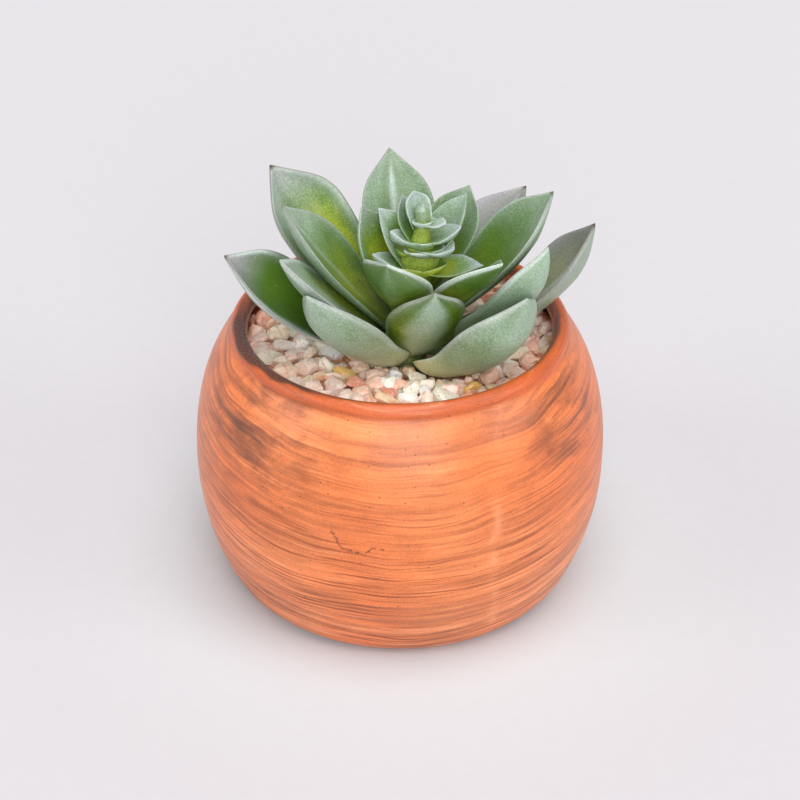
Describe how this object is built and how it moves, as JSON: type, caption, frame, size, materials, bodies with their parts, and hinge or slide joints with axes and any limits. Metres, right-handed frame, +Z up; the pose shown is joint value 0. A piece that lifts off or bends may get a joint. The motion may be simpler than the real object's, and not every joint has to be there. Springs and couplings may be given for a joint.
{
  "type": "potted succulent",
  "caption": "Rosette succulent with thick pointed leaves on a short stem, in a gravel-topped round terracotta pot with a flat base.",
  "frame": {"origin": "centre of the pot's flat base, on the surface it stands on", "axes": "+Z up along the pot's axis, -Y towards the viewer of the picture, +X to the viewer's right"},
  "size_m": [0.1, 0.1, 0.1035],
  "materials": {
    "terracotta": "smooth fired clay with a brown wash, satin",
    "growing_medium": null,
    "gravel": "tumbled cream and pink stones, satin",
    "leaf": null,
    "young_leaf": "waxy yellow-green stem and young leaves, satin"
  },
  "bodies": {
    "root": {"pot": "terracotta", "soil": "growing_medium", "gravel": "gravel", "stem_crown": "young_leaf", "leaf_left_low": "leaf", "leaf_left_front": "leaf", "leaf_left": "leaf", "leaf_front_left": "leaf", "leaf_front": "leaf", "leaf_front_right": "leaf", "leaf_right_front": "leaf", "leaf_right_low": "leaf", "leaf_right": "leaf", "leaf_back_right": "leaf", "leaf_back_right_low": "leaf", "leaf_back": "leaf", "leaf_back_left_low": "leaf", "leaf_back_left": "leaf", "leaf_middle_front": "leaf", "leaf_middle_right": "leaf", "leaf_middle_back_right": "leaf", "leaf_middle_back_left": "leaf"}
  },
  "joints": []
}
